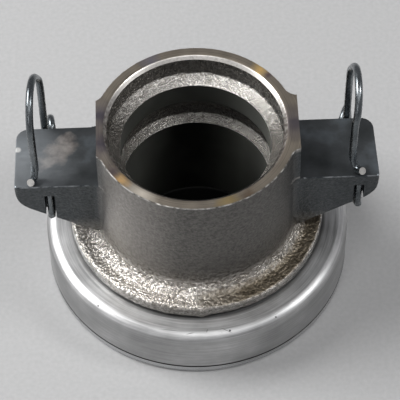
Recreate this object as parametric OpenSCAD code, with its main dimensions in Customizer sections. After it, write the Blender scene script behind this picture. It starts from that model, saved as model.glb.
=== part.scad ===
// Clutch release bearing with a cast carrier and two spring clips.
// The frame is +Z up, in millimetres. The origin is the centre of the thrust face that it stands on,
// +X runs through the ears and the clips' curled tips point to -Y.

/* [Sleeve] */
// Height of the machined rim above the thrust face
body_h = 68.7; // [66:0.1:74]
// Diameter of the guide bore
bore_d = 50; // [46:0.5:52]
// Outside diameter of the sleeve at the rim
sleeve_d = 67; // [65:0.5:70]
// How much the sleeve's radius grows from the rim down to the flange
sleeve_draft = 1.1; // [0.4:0.1:2]
// Width of the flat machined rim
rim_w = 3.3; // [2.6:0.1:3.8]
// Chamfer at the mouth
mouth_chamfer = 1.1; // [0.5:0.1:1.5]
// Depth of the as-cast mouth, from the rim down to the upper land
mouth_depth = 9.9; // [8:0.1:12]
// Height of the upper machined land
upper_land = 8.3; // [6:0.1:10]
// Height of the as-cast relief between the two lands
relief_h = 11.9; // [9:0.1:13]
// Depth of that relief behind the lands
relief_depth = 3; // [2:0.1:3.5]
// Drop of the sloping cast ledges at the head of each land
ledge_drop = 2; // [1:0.1:2.5]
// Width of the two lugs beside the rim, between the hollows at their sides
lug_w = 22.2; // [20:0.1:24]
// Distance of the left lug's milled flat from the middle
lug_left = 32.5; // [31.5:0.1:35]
// Distance of the right lug's milled flat from the middle
lug_right = 33.9; // [31.5:0.1:35]

/* [Flange] */
// Diameter of the flange
flange_d = 86.6; // [83:0.2:90]
// Thickness of the flange at its edge
flange_edge = 4.6; // [3.5:0.1:5.5]
// Rounding of the flange's two edges
flange_round = 1.2; // [0.5:0.1:1.6]
// Radius of the fillet from the flange up to the sleeve
flange_fillet = 5.5; // [4:0.1:6]
// Radius of the nub that the mould's parting line leaves at the front of the flange
nub_r = 1.3; // [0.8:0.1:2]
// How far that nub stands out of the flange's edge
nub_out = 0.6; // [0.3:0.1:1]

/* [Ears] */
// Distance across the two ears
ear_span = 120.4; // [116:0.2:124]
// Width of an ear, front to back
ear_w = 24.6; // [24.2:0.1:26]
// Depth of the ears' flat tops below the rim
ear_drop = 14.9; // [13:0.1:17]
// Straight height of an ear's outer end, above its round corner
ear_end_h = 2.8; // [1:0.1:4]
// Radius of the round lower corner of an ear's end
ear_corner = 11; // [9:0.1:12]
// Slope of an ear's underside, in degrees
ear_slope = 33; // [28:1:36]
// Radius of an ear's rear corner, seen from above
ear_back_round = 4.2; // [2:0.1:5]
// How much an ear's end narrows from front to back
ear_taper = 0.4; // [0:0.1:1]
// Radius of an ear's front corner, seen from above
ear_front_round = 1.2; // [0.6:0.1:2]
// Radius of the hollows where the ears and lugs meet the sleeve
ear_fillet = 5; // [3:0.1:6]
// How far the cast ears lie behind the middle of the bore
core_shift = 0.6; // [0:0.1:1]

/* [Clips] */
// Diameter of the spring wire
wire_d = 2.5; // [2:0.1:2.8]
// Height of the clip's arch above the ear, to the middle of the wire
arch_h = 32.1; // [28:0.2:36]
// Distance of the arch's front leg behind the ear's front face
front_leg_in = 4.3; // [3:0.1:6]
// Diameter of the coil, to the middle of the wire
coil_d = 7.4; // [6.5:0.1:9]
// Depth of the coils' centres below the ears' tops
coil_drop = 7; // [6:0.1:9]
// Side play of the wire in the slots of the ears' front faces
slot_play = 0.45; // [0.3:0.05:0.8]
// Distance from an ear's top down to the head of its slot
slot_drop = 5; // [4:0.1:7]
// Distance of the left slot from its ear's end
left_slot_in = 11.3; // [8:0.1:13]
// Distance of the right slot from its ear's end
right_slot_in = 6.5; // [5.8:0.1:9]

/* [Bearing] */
// Diameter of the balls
ball_d = 11; // [10:0.1:11.5]
// Distance from the spigot to the middle of the balls
inner_wall = 9.5; // [9:0.1:10]
// Distance from the middle of the balls to the outside of the turning ring
outer_wall = 10.3; // [10:0.1:11.5]
// Height of the balls' centres above the thrust face
ball_z = 11; // [10.8:0.1:11.6]
// Diameter of the spigot that the inner ring is pressed on
spigot_d = 62; // [60:0.2:63]
// Height of the spigot's lower end above the thrust face
spigot_low = 0.8; // [0.4:0.1:2]
// Height of the inner ring's lower face above the thrust face
inner_low = 4.6; // [4.4:0.1:5.2]
// Thickness of the turning ring's thrust web
web_t = 4.2; // [3.6:0.1:4.3]
// How far the thrust web reaches inwards of the middle of the balls
web_lap = 1.1; // [0.5:0.1:1.5]

/* [Shroud] */
// Sheet thickness of the shroud
sheet_t = 1.2; // [0.8:0.1:1.5]
// Height of the shroud's top above the thrust face
shroud_top = 20.6; // [20.2:0.1:22]
// Height of the shroud's lower edge above the thrust face
shroud_low = 3.7; // [3.4:0.1:4.5]
// Height of the groove between the shroud and the turning ring's lower band
band_gap = 0.5; // [0.3:0.1:0.8]
// Outside radius of the shroud's shoulder
shoulder_r = 3.8; // [3:0.1:5]
// Running gap between the shroud and the carrier's flange
flange_gap = 0.6; // [0.3:0.1:1]

/* [Hidden] */
// Sixteen balls, spaced evenly by the cage
ball_count = 16;
// Clearances between pieces that run on or lie against each other
ball_gap = 0.1;
pocket_gap = 0.25;
wire_gap = 0.25;
seal_gap = 0.4;
seal_lip_gap = 0.3;
cage_gap = 1;
// Stations of each clip, outwards: its rise behind the ear from its slot, and from its back leg the
// crown of the arch, the front leg and the curled tip, then how far the coil leans outwards
left_clip = [-1.2, 2.15, 2.55, 4.05, 0];
right_clip = [-5, 1.15, -0.15, 2.85, 2.5];
// Curled tip of a clip: share of its run sideways, then its run forwards and its height in wire diameters
tip_curl = [[0.12, 0.2, 0.8], [0.4, 0.7, 0.08], [0.75, 1.3, 0.15], [1, 1.8, 0.62]];
// Cage sizes as shares of the ball's radius: half its width, its reach below and above the balls' centres
cage_share = 0.38;
cage_down = 0.3;
cage_up = 1.28;
// Height of the seal's lower face above the thrust face
seal_low = 1.4;
// Slope of the flange's top, and of the sleeve's foot, in degrees
flange_tilt = 8;
foot_tilt = 4;
// Small edge breaks on the turned pieces
edge = 0.6;
// Overlap that joins two forms of the same piece, and cuts past a face
join = 2;
$fn = 96;

bore_r = bore_d / 2;
sleeve_r = sleeve_d / 2;
spigot_r = spigot_d / 2;
flange_r = flange_d / 2;
flange_low = shroud_top + flange_gap;
flange_high = flange_low + flange_edge;
ear_x = ear_span / 2;
ear_y = ear_w / 2;
ear_z = body_h - ear_drop;
// Radii that the lugs' and the ears' hollows run into, just inside the sleeve's wall
lug_neck_r = sleeve_r - edge / 2;
ear_neck_r = lug_neck_r + sleeve_draft * ear_drop / (body_h - flange_high - flange_fillet);
left_slot_x = ear_x - left_slot_in;
right_slot_x = ear_x - right_slot_in;
mouth_r = sleeve_r - rim_w;
cast_r = mouth_r - mouth_chamfer;
relief_r = bore_r + relief_depth;
upper_land_high = body_h - mouth_depth;
upper_land_low = upper_land_high - upper_land;
lower_land_high = upper_land_low - relief_h;
wire_r = wire_d / 2;
ball_r = ball_d / 2;
pitch_r = spigot_r + inner_wall;
web_r = pitch_r - web_lap;
skirt_r = pitch_r + outer_wall;
shroud_r = skirt_r + sheet_t;
shroud_under = shroud_top - sheet_t;
// The rings' shoulders stand clear of the cage
cage_half = ball_r * cage_share;
inner_shoulder = pitch_r - cage_half - cage_gap;
outer_shoulder = pitch_r + cage_half + cage_gap;

function ball_name(i) = str("ball_", i < 10 ? "0" : "", i);

// Points of an arc about a centre, from one angle to another
function arc(centre, r, from, to, steps = 8) =
    [for (i = [0:steps]) let (a = from + (to - from) * i / steps) centre + r * [cos(a), sin(a)]];

// Height of an ear's sloping underside at a distance x from the middle
ear_arc_x = ear_x - ear_corner;
ear_arc_z = ear_z - ear_end_h;
function underside(x) = ear_arc_z - ear_corner * cos(ear_slope)
    - (ear_arc_x + ear_corner * sin(ear_slope) - x) * tan(ear_slope);

// The casting

// Outer form of the sleeve, flange and spigot, turned about the axis
module sleeve_form() {
    foot_r = sleeve_r + sleeve_draft;
    fillet_x = foot_r + flange_fillet;
    fillet_z = flange_high + flange_fillet;
    rotate_extrude() polygon(concat(
        [[bore_r - join, spigot_low], [spigot_r - edge, spigot_low],
         [spigot_r, spigot_low + edge], [spigot_r, flange_low]],
        arc([flange_r - flange_round, flange_low + flange_round], flange_round, -90, 0, 4),
        arc([flange_r - flange_round, flange_high - flange_round], flange_round, 0, 90 - flange_tilt, 4),
        arc([fillet_x, fillet_z], flange_fillet, 270 - flange_tilt, 180 + foot_tilt),
        [[sleeve_r, body_h], [bore_r - join, body_h]]));
}

// Front outline of one ear: flat top, round lower corner, sloping underside
module ear_front() {
    inner_x = sleeve_r - join * 2;
    polygon(concat(
        [[inner_x, ear_z]],
        [[ear_x, ear_z]],
        arc([ear_arc_x, ear_arc_z], ear_corner, 0, ear_slope - 90, 12),
        [[inner_x, underside(inner_x)]]));
}

// Plan outline of one ear: round rear corner, small front corner
module ear_plan() {
    polygon(concat(
        [[0, ear_y], [0, -ear_y]],
        arc([ear_x - ear_front_round, -ear_y + ear_front_round], ear_front_round, -90, 0, 6),
        arc([ear_x - ear_taper - ear_back_round, ear_y - ear_back_round], ear_back_round, 0, 90, 8)));
}

// Distance from the middle to the centre of a hollow between the sleeve and an upright face beside it
function hollow_x(side_y, face, neck_r) =
    sqrt(pow(neck_r + ear_fillet, 2) - pow(core_shift + side_y * (face + ear_fillet), 2));

// Hollow fillet where such a face runs into the round sleeve, between two heights
module hollow(side_y, face, neck_r, low, high) {
    wall_y = core_shift + side_y * (face - join);
    centre = [hollow_x(side_y, face, neck_r), core_shift + side_y * (face + ear_fillet)];
    touch = centre * neck_r / (neck_r + ear_fillet);
    difference() {
        translate([0, 0, low])
            linear_extrude(high - low)
                polygon([touch, centre, [centre[0], wall_y], [touch[0] - join, wall_y]]);
        translate([centre[0], centre[1], low - join])
            cylinder(r = ear_fillet, h = high - low + join * 2);
    }
}

module ear() {
    translate([0, core_shift, 0]) intersection() {
        rotate([90, 0, 0]) linear_extrude(ear_w + join, center = true) ear_front();
        linear_extrude(body_h) ear_plan();
    }
    for (side_y = [-1, 1])
        hollow(side_y, ear_y, ear_neck_r, underside(hollow_x(side_y, ear_y, ear_neck_r)), ear_z);
}

// Lugs beside the rim, flush with it, whose sides are hollow
module lugs() {
    translate([-lug_left, core_shift - lug_w / 2, ear_z - join])
        cube([lug_left + lug_right, lug_w, ear_drop + join]);
    for (side_x = [0, 1], side_y = [-1, 1])
        mirror([side_x, 0, 0]) hollow(side_y, lug_w / 2, lug_neck_r, ear_z - join, body_h);
}

// Room that the mill leaves beside each lug, down to the ears' flat tops
module lug_mill() {
    mill_w = ear_w + ear_fillet * 2;
    for (x = [-lug_left - ear_x, lug_right])
        translate([x, core_shift - mill_w / 2, ear_z])
            cube([ear_x, mill_w, ear_drop + join]);
}

// Everything that is bored, or left as cast, inside the sleeve
module bore_form() {
    rotate_extrude() polygon([
        [0, -join], [bore_r + edge, -join], [bore_r + edge, spigot_low], [bore_r, spigot_low + edge],
        [bore_r, lower_land_high], [relief_r, lower_land_high + ledge_drop],
        [relief_r, upper_land_low - edge * 2], [bore_r, upper_land_low],
        [bore_r, upper_land_high], [cast_r, upper_land_high + ledge_drop],
        [cast_r, body_h - mouth_chamfer], [mouth_r, body_h],
        [mouth_r, body_h + join], [0, body_h + join]]);
}

// Slot in an ear's front face, open at its underside
module clip_slot(x) {
    slot_w = wire_d + slot_play * 2;
    slot_depth = wire_d + wire_gap * 2;
    low = underside(abs(x)) - slot_w - join;
    translate([x - slot_w / 2, core_shift - ear_y - join, low])
        cube([slot_w, slot_depth + join, ear_z - slot_drop - low]);
}

// Nub on the mould's parting line
module parting_nub() {
    translate([core_shift, nub_r - flange_r - nub_out, flange_low])
        cylinder(r = nub_r, h = flange_edge - flange_round);
}

module carrier() {
    color([0.33, 0.32, 0.31])
    difference() {
        union() {
            sleeve_form();
            parting_nub();
            lugs();
            ear();
            mirror([1, 0, 0]) ear();
        }
        bore_form();
        lug_mill();
        clip_slot(-left_slot_x);
        clip_slot(right_slot_x);
    }
}

// The bearing

// Round groove that the balls run in, shared by both rings
module ball_track() {
    rotate_extrude() translate([pitch_r, ball_z]) circle(r = ball_r + ball_gap);
}

module inner_ring() {
    color([0.62, 0.63, 0.65])
    difference() {
        rotate_extrude() polygon([
            [spigot_r, inner_low + edge], [spigot_r + edge, inner_low],
            [inner_shoulder - edge, inner_low], [inner_shoulder, inner_low + edge],
            [inner_shoulder, flange_low - edge], [inner_shoulder - edge, flange_low],
            [spigot_r, flange_low]]);
        ball_track();
    }
}

module outer_ring() {
    band_top = shroud_low - band_gap;
    color([0.66, 0.67, 0.68])
    difference() {
        rotate_extrude() polygon(concat(
            [[web_r, edge], [web_r + edge, 0]],
            arc([shroud_r - edge, edge], edge, -90, 0, 4),
            [[shroud_r, band_top - edge / 2], [shroud_r - edge / 2, band_top], [skirt_r, band_top]],
            [[skirt_r, shroud_top - shoulder_r], [shroud_r - shoulder_r, shroud_under]],
            [[outer_shoulder + edge, shroud_under], [outer_shoulder, shroud_under - edge]],
            [[outer_shoulder, web_t], [web_r, web_t]]));
        ball_track();
    }
}

// Drawn cover, pressed on the turning ring and closing the bearing above
module shroud() {
    bend = [shroud_r - shoulder_r, shroud_top - shoulder_r];
    hole_r = inner_shoulder + cage_gap;
    color([0.74, 0.75, 0.76])
    rotate_extrude() polygon(concat(
        [[skirt_r, shroud_low], [shroud_r, shroud_low]],
        arc(bend, shoulder_r, 0, 90, 10),
        [[hole_r, shroud_top], [hole_r, shroud_under]],
        arc(bend, shoulder_r - sheet_t, 90, 0, 10)));
}

// Rubber ring in the web's hole, with a lip that runs just clear of the spigot and the inner ring
module front_seal() {
    seal_in = spigot_r + seal_lip_gap;
    lip_top = inner_low - seal_lip_gap;
    color([0.12, 0.12, 0.12])
    rotate_extrude() polygon([
        [seal_in, seal_low], [web_r, seal_low], [web_r, web_t - seal_gap],
        [seal_in + edge * 2, web_t - seal_gap * 3], [seal_in + edge, lip_top], [seal_in, lip_top]]);
}

// Crown cage: a ring above the balls, with open pockets that the balls snap into
module ball_cage() {
    cage_low = ball_z - ball_r * cage_down;
    cage_high = ball_z + ball_r * cage_up;
    color([0.72, 0.62, 0.42])
    difference() {
        rotate_extrude() translate([pitch_r - cage_half, cage_low])
            square([cage_half * 2, cage_high - cage_low]);
        for (i = [1:ball_count]) ball_place(i) sphere(r = ball_r + pocket_gap);
    }
}

module ball_place(i) {
    rotate([0, 0, (i - 0.5) * 360 / ball_count])
        translate([pitch_r, 0, ball_z])
            children();
}

module ball(i) {
    color([0.80, 0.81, 0.83]) ball_place(i) sphere(r = ball_r);
}

// The clips

// Smooth curve through hand-chosen points, sampled the same number of times between each two
function spline_at(a, b, c, d, t) = 0.5 * ((2 * b) + (c - a) * t + (2 * a - 5 * b + 4 * c - d) * t * t
    + (3 * b - a - 3 * c + d) * t * t * t);
function spline(points, steps) = let (last = len(points) - 1) concat(
    [for (i = [0:last - 1], k = [0:steps - 1])
        spline_at(points[max(i - 1, 0)], points[i], points[i + 1], points[min(i + 2, last)], k / steps)],
    [points[last]]);

function unit(v) = v / norm(v);
function tangent(path, i) = unit(path[min(i + 1, len(path) - 1)] - path[max(i - 1, 0)]);

// Carries a direction across the wire along the path without twisting it
function sides(path, i = 0, before = [1, 0, 0], done = []) = i == len(path) ? done :
    let (t = tangent(path, i), s = unit(before - (before * t) * t))
    sides(path, i + 1, s, concat(done, [s]));

// Round wire swept along a path
module wire(path, facets = 12) {
    across = sides(path);
    rings = [for (i = [0:len(path) - 1]) let (s = across[i], u = cross(tangent(path, i), s))
        for (k = [0:facets - 1]) path[i] + wire_r * (cos(k * 360 / facets) * s + sin(k * 360 / facets) * u)];
    last = (len(path) - 1) * facets;
    walls = [for (i = [0:len(path) - 2], k = [0:facets - 1]) let (n = (k + 1) % facets)
        [i * facets + n, i * facets + k, (i + 1) * facets + k, (i + 1) * facets + n]];
    polyhedron(rings, concat(walls, [[for (k = [0:facets - 1]) k]],
        [[for (k = [facets - 1:-1:0]) last + k]]), convexity = 8);
}

// Parabola through three values, at 0, a half and 1
function through(a, b, c, t) = a * (1 - t) * (1 - 2 * t) + b * 4 * t * (1 - t) + c * t * (2 * t - 1);

// Middle line of a clip on the +X side, from the hook in its slot to its curled tip
function clip_path(slot_x, stations) = let (
    bend = wire_d,
    slot_y = -ear_y + wire_r + wire_gap,
    rise_x = slot_x + stations[0],
    back_x = rise_x + wire_d + wire_gap,
    crown_x = back_x + stations[1],
    front_x = back_x + stations[2],
    curl_x = stations[3] - stations[2],
    under = min(underside(slot_x), underside(rise_x)) - (wire_r + wire_gap) / cos(ear_slope),
    rise_y = ear_y + wire_r + wire_gap,
    coil_r = coil_d / 2,
    coil_z = ear_z - coil_drop,
    front_y = -ear_y + front_leg_in,
    arch_r = (rise_y - front_y) / 2,
    arch_z = ear_z + arch_h - arch_r,
    rest_z = ear_z + wire_r + wire_gap
) spline(concat(
    [[slot_x, slot_y, ear_z - slot_drop - wire_gap * 2], [slot_x, slot_y, under + bend * 2]],
    [for (a = [180, 225, 270]) [slot_x, slot_y + bend * (1 + cos(a)), under + bend * (1 + sin(a))]],
    [for (a = [270, 315, 360]) [rise_x, rise_y + bend * (cos(a) - 1), under + bend * (1 + sin(a))]],
    [for (a = [180:-36:-180]) let (t = (180 - a) / 360)
        [rise_x + (back_x - rise_x) * t + stations[4] * sin(180 * t),
         rise_y + coil_r * (1 + cos(a)), coil_z + coil_r * sin(a)]],
    [[back_x, rise_y, ear_z + join]],
    [for (a = [0:22.5:180]) [through(back_x, crown_x, front_x, a / 180),
        front_y + arch_r * (1 + cos(a)), arch_z + arch_r * sin(a)]],
    [[front_x, front_y, rest_z + wire_d * 2]],
    [for (p = tip_curl)
        [front_x + curl_x * p[0], front_y - wire_d * p[1], rest_z + wire_d * p[2]]]), 3);

module clip(slot_x, stations) {
    color([0.20, 0.22, 0.26]) translate([0, core_shift, 0]) wire(clip_path(slot_x, stations));
}

module clip_left() {
    mirror([1, 0, 0]) clip(left_slot_x, left_clip);
}

module clip_right() {
    clip(right_slot_x, right_clip);
}

carrier();
inner_ring();
outer_ring();
shroud();
front_seal();
ball_cage();
clip_left();
clip_right();
for (i = [1:ball_count]) ball(i);
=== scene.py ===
import math

import bmesh
import bpy
import numpy as np
from mathutils import Matrix, Vector, noise


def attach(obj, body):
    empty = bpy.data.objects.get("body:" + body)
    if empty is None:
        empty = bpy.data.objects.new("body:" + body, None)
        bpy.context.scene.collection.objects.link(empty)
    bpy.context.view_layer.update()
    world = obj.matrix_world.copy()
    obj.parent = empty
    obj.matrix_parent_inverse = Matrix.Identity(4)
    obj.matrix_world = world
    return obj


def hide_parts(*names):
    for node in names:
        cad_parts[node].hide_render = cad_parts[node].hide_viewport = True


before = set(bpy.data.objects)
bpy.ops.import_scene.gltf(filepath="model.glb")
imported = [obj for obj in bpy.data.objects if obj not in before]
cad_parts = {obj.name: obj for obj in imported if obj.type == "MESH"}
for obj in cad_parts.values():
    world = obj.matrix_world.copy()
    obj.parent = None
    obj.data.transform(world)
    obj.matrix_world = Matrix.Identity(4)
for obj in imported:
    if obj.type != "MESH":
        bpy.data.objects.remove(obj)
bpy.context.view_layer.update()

# The carrier: one iron casting with a sleeve, a flange and two ears that the release fork presses on.
# Its flange, ledges and walls keep the lumpy skin of the sand mould, cleaned by shot blasting.
# The rim is turned, the lands in the bore are bored, and the ears' tops and the lugs' sides are milled.
MM = 0.001
BODY_H, SLEEVE_R, DRAFT, EDGE_BREAK = 68.7, 33.5, 1.1, 0.3
SPIGOT_R, SPIGOT_LOW = 31.0, 0.8
BORE_R, MOUTH_R, CAST_R, RELIEF_R = 25.0, 30.2, 29.1, 28.0
UPPER_LAND, LOWER_LAND, LEDGE_DROP = (50.5, 58.8), (1.4, 38.6), 2.0
BORE_CHAMFER, MOUTH_CHAMFER, RELIEF_CHAMFER, MOUTH_BREAK = 0.6, 1.1, 1.2, (0.08, 0.04)
FLANGE_R, FLANGE_LOW, FLANGE_TOP, FLANGE_ROUND, FLANGE_FILLET = 43.3, 21.2, 25.8, 1.2, 5.5
FLANGE_TILT, FOOT_TILT = 8, 4
EAR_X, EAR_Y, EAR_Z, EAR_SHIFT = 60.2, 12.3, 53.8, 0.6
EAR_CORNER, EAR_END, EAR_SLOPE, EAR_TAPER = 11.0, 2.8, math.radians(33), 0.4
EAR_FRONT_ROUND, EAR_BACK_ROUND, EAR_FILLET = 1.2, 4.2, 5.0
HOLLOW_ROOT, HOLLOW_DEEP = (1.2, 1.5), 3.0
LUG_LEFT, LUG_RIGHT, LUG_W, ROOT_X = -32.5, 33.9, 22.2, 30.9
SLOT_LEFT, SLOT_RIGHT, SLOT_W, SLOT_DEPTH, SLOT_LOW, SLOT_TOP = -48.9, 53.7, 3.4, 3.0, 28.0, 48.8
# Corners where a cast wall meets its ledge: radius, rise of the centre, and end of the arc in degrees
MOUTH_CORNER, RELIEF_CORNER = (0.9, 0.35, -64), (0.8, 0.3, -58)
# Spacing of the mesh, which is fine where the mould's skin is modelled
EDGE_STEP, FLANGE_STEP, LEDGE_STEP, CHAMFER_STEP, MOUTH_STEP, RELIEF_STEP = 0.45, 0.36, 0.32, 0.6, 0.8, 0.9
RIM_STEP, WALL_STEP, LAND_STEP, SPIGOT_STEP, BORE_STEP = 1.0, 1.6, 3, 6, 8
AROUND, ROWS = 600, 10
EAR_GRID, HOLLOW_GRID, LUG_GRID = (26, 22, ROWS), (10, 2, ROWS), (2, 12, ROWS)
# How far tools reach past each other, the gap that is merged, and the angle past which an edge stays sharp
LAP, HAIR, MERGE_GAP, CAST_SHARP = 2.0, 0.02, 0.002, math.radians(38)


def walk(corners, step):
    """Points along a line of corners, at most step apart, without the last corner."""
    points = []
    for a, b in zip(corners, corners[1:]):
        n = max(1, math.ceil(math.dist(a, b) / step))
        points += [tuple(np.add(a, np.subtract(b, a) * i / n)) for i in range(n)]
    return points


def bend(centre, r, start, end, steps):
    """Points of an arc from one angle to another, in degrees."""
    turns = np.radians(np.linspace(start, end, steps + 1))
    return [(centre[0] + r * math.cos(t), centre[1] + r * math.sin(t)) for t in turns]


def close_mesh(mesh, gap):
    """Merges points that lie within a gap, in millimetres, and turns all faces outwards."""
    form = bmesh.new()
    form.from_mesh(mesh)
    bmesh.ops.remove_doubles(form, verts=form.verts, dist=gap * MM)
    bmesh.ops.recalc_face_normals(form, faces=form.faces)
    form.to_mesh(mesh)
    form.free()


def place_piece(name, data):
    """An object at the origin that holds a mesh, a curve, a light or a camera."""
    piece = bpy.data.objects.new(name, data)
    bpy.context.scene.collection.objects.link(piece)
    return piece


def solid(name, points, faces):
    """A closed mesh from points in millimetres, with its doubles merged and its faces turned outwards."""
    mesh = bpy.data.meshes.new(name)
    mesh.from_pydata([[c * MM for c in p] for p in points], [], faces)
    close_mesh(mesh, MERGE_GAP)
    return place_piece(name, mesh)


def plain_mesh(piece):
    """The piece's mesh as its modifiers leave it."""
    return bpy.data.meshes.new_from_object(piece.evaluated_get(bpy.context.evaluated_depsgraph_get()))


def spun(name, profile, around):
    """A closed profile of radius and height, turned about the bore's axis."""
    turns = [2 * math.pi * k / around for k in range(around)]
    n = len(profile)
    points = [(r * math.cos(t), r * math.sin(t), z) for t in turns for r, z in profile]
    faces = []
    for k in range(around):
        a, b = k * n, (k + 1) % around * n
        faces += [(a + i, b + i, b + (i + 1) % n, a + (i + 1) % n) for i in range(n)]
    return solid(name, points, faces)


def block(name, counts, place):
    """A box of grids whose three counters place() turns into a point."""
    index, points, faces = {}, [], []

    def corner(*at):
        if at not in index:
            index[at] = len(points)
            points.append(place(*(i / n for i, n in zip(at, counts))))
        return index[at]

    for fixed in range(3):
        u, v = [axis for axis in range(3) if axis != fixed]
        for level in (0, counts[fixed]):
            for i in range(counts[u]):
                for j in range(counts[v]):
                    quad = []
                    for du, dv in ((0, 0), (1, 0), (1, 1), (0, 1)):
                        at = [level] * 3
                        at[u], at[v] = i + du, j + dv
                        quad.append(corner(*at))
                    faces.append(quad)
    return solid(name, points, faces)


def under(x):
    """Height of an ear's underside at a distance x from the middle: a slope, then a round corner."""
    arc_x, arc_z = EAR_X - EAR_CORNER, EAR_Z - EAR_END
    foot = arc_x + EAR_CORNER * math.sin(EAR_SLOPE)
    if x > foot:
        return arc_z - math.sqrt(max(EAR_CORNER**2 - (x - arc_x) ** 2, 0))
    return arc_z - EAR_CORNER * math.cos(EAR_SLOPE) - (foot - x) * math.tan(EAR_SLOPE)


def ear_reach(y):
    """How far an ear reaches at a distance y from its middle line: rounder at the back than in front."""
    if y < EAR_FRONT_ROUND - EAR_Y:
        off = EAR_FRONT_ROUND - EAR_Y - y
        return EAR_X - EAR_FRONT_ROUND + math.sqrt(max(EAR_FRONT_ROUND**2 - off**2, 0))
    reach = EAR_X - EAR_TAPER * (y + EAR_Y) / (2 * EAR_Y)
    off = y - (EAR_Y - EAR_BACK_ROUND)
    if off > 0:
        return reach + math.sqrt(max(EAR_BACK_ROUND**2 - off**2, 0)) - EAR_BACK_ROUND
    return reach


def ear_point(side):
    """A point of an ear's body, whose top edge is broken all round."""
    def place(u, v, w):
        y = EAR_Y * math.sin((v - 0.5) * math.pi)
        x = ROOT_X + (ear_reach(y) - ROOT_X) * math.sin(u * math.pi / 2)
        if w == 1:
            return side * (x - EDGE_BREAK * u), y * (1 - EDGE_BREAK / EAR_Y) + EAR_SHIFT, EAR_Z
        low = under(x)
        return side * x, y + EAR_SHIFT, low + (EAR_Z - EDGE_BREAK - low) * w * ROWS / (ROWS - 1)
    return place


def hollow_point(side, front, low, high):
    """The hollow corner beside an ear, or a lug above it, between two levels of height, face and neck."""
    def place(u, v, w):
        share = w if w == 1 else w * (1 - EDGE_BREAK / (high[0] - low[0])) * ROWS / (ROWS - 1)
        z, face, neck_r = (a + (b - a) * share for a, b in zip(low, high))
        centre_y = EAR_SHIFT + front * (face + EAR_FILLET)
        centre_x = math.sqrt((neck_r + EAR_FILLET) ** 2 - centre_y**2)
        start = math.atan2(-centre_y, -centre_x)
        turn = (-front * math.pi / 2 - start + math.pi) % (2 * math.pi) - math.pi
        a = start + turn * u
        x, y = centre_x + EAR_FILLET * math.cos(a), centre_y + EAR_FILLET * math.sin(a)
        root_x, root_y = x - HOLLOW_ROOT[0], EAR_SHIFT + front * (face - HOLLOW_ROOT[1])
        v += (1 - v) * EDGE_BREAK / HOLLOW_DEEP if w == 1 else 0
        return side * (x + (root_x - x) * v), y + (root_y - y) * v, z
    return place


def box_point(low, high):
    """A point of a plain box between two corners."""
    return lambda *share: tuple(a + (b - a) * s for a, b, s in zip(low, high, share))


def carve(base, tool, how):
    """Joins a form to the base, or cuts it out of the base, and removes the tool."""
    cut = base.modifiers.new(how, "BOOLEAN")
    cut.operation, cut.object, cut.solver = how, tool, "EXACT"
    made = plain_mesh(base)
    base.modifiers.clear()
    base.data = made
    bpy.data.objects.remove(tool)


def ledge_corner(wall_r, land, corner):
    """The round corner between a cast wall and the ledge below it."""
    r, rise, end = corner
    return bend((wall_r - r, land[1] + LEDGE_DROP + rise), r, 0, end, 4)


round_r = FLANGE_R - FLANGE_ROUND
edge_low = bend((round_r, FLANGE_LOW + FLANGE_ROUND), FLANGE_ROUND, -90, 0, 4)
edge_high = bend((round_r, FLANGE_TOP - FLANGE_ROUND), FLANGE_ROUND, 0, 90 - FLANGE_TILT, 5)
fillet_at = (SLEEVE_R + DRAFT + FLANGE_FILLET, FLANGE_TOP + FLANGE_FILLET)
fillet = bend(fillet_at, FLANGE_FILLET, 270 - FLANGE_TILT, 180 + FOOT_TILT, 22)
mouth_corner = ledge_corner(CAST_R, UPPER_LAND, MOUTH_CORNER)
relief_corner = ledge_corner(RELIEF_R, LOWER_LAND, RELIEF_CORNER)
bore_foot = (BORE_R + BORE_CHAMFER, SPIGOT_LOW)
rim_out, rim_in = (SLEEVE_R, BODY_H - EDGE_BREAK), (MOUTH_R + MOUTH_BREAK[0], BODY_H)
mouth_low, relief_high = (CAST_R, BODY_H - MOUTH_CHAMFER), (RELIEF_R, UPPER_LAND[0] - RELIEF_CHAMFER)
sleeve_profile = (
    walk([bore_foot, (SPIGOT_R - BORE_CHAMFER, SPIGOT_LOW), (SPIGOT_R, SPIGOT_LOW + BORE_CHAMFER),
          (SPIGOT_R, FLANGE_LOW), edge_low[0]], SPIGOT_STEP)
    + edge_low + walk([edge_low[-1], edge_high[0]], EDGE_STEP)[1:] + edge_high
    + walk([edge_high[-1], fillet[0]], FLANGE_STEP)[1:] + fillet
    + walk([fillet[-1], rim_out], WALL_STEP)[1:]
    + walk([rim_out, (SLEEVE_R - EDGE_BREAK, BODY_H), rim_in], RIM_STEP)
    + walk([rim_in, (MOUTH_R, BODY_H - MOUTH_BREAK[1]), mouth_low], CHAMFER_STEP)
    + walk([mouth_low, mouth_corner[0]], MOUTH_STEP) + mouth_corner
    + walk([mouth_corner[-1], (BORE_R, UPPER_LAND[1])], LEDGE_STEP)[1:]
    + walk([(BORE_R, UPPER_LAND[1]), (BORE_R, UPPER_LAND[0])], LAND_STEP)
    + walk([(BORE_R, UPPER_LAND[0]), relief_high], CHAMFER_STEP)
    + walk([relief_high, relief_corner[0]], RELIEF_STEP) + relief_corner
    + walk([relief_corner[-1], (BORE_R, LOWER_LAND[1])], LEDGE_STEP)[1:]
    + walk([(BORE_R, LOWER_LAND[1]), (BORE_R, LOWER_LAND[0]), bore_foot], BORE_STEP))
carrier = spun("carrier_casting", sleeve_profile, AROUND)

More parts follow.
